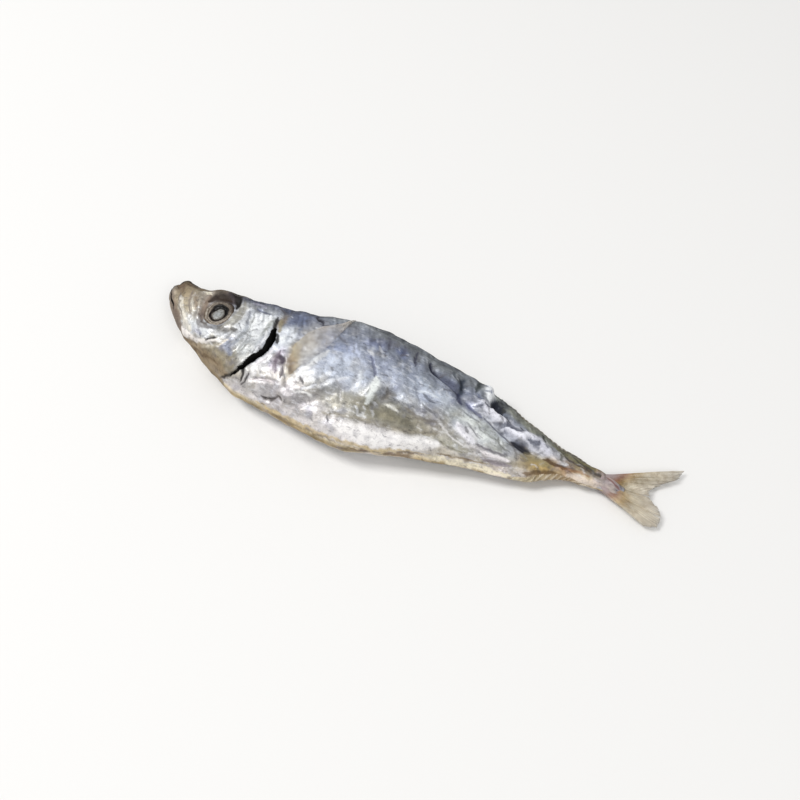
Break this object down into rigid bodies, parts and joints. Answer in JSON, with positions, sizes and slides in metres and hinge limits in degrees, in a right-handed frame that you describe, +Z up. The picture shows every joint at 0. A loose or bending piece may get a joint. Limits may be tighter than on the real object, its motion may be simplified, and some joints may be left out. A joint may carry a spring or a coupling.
{
  "type": "dried round scad",
  "caption": "Whole small dried fish lying on one flank, with head, eye, gill slit, fins and forked tail, for food scenes.",
  "frame": {"origin": "middle of the fish's bounding box in X and Y, on the surface that it rests on", "axes": "+X from snout to tail, +Y from belly to back, +Z up, out of the left flank; the fish lies on its right flank"},
  "size_m": [0.1946, 0.0488, 0.0224],
  "materials": {
    "skin": "dried silver skin, dull metallic sheen with blue-grey back and cream belly",
    "fin": "dried translucent tan membrane with fine rays",
    "eye": "sunken dried eye, grey lens in a brown ring, slightly glossy"
  },
  "bodies": {
    "root": {"round_scad": "skin"}
  },
  "joints": []
}
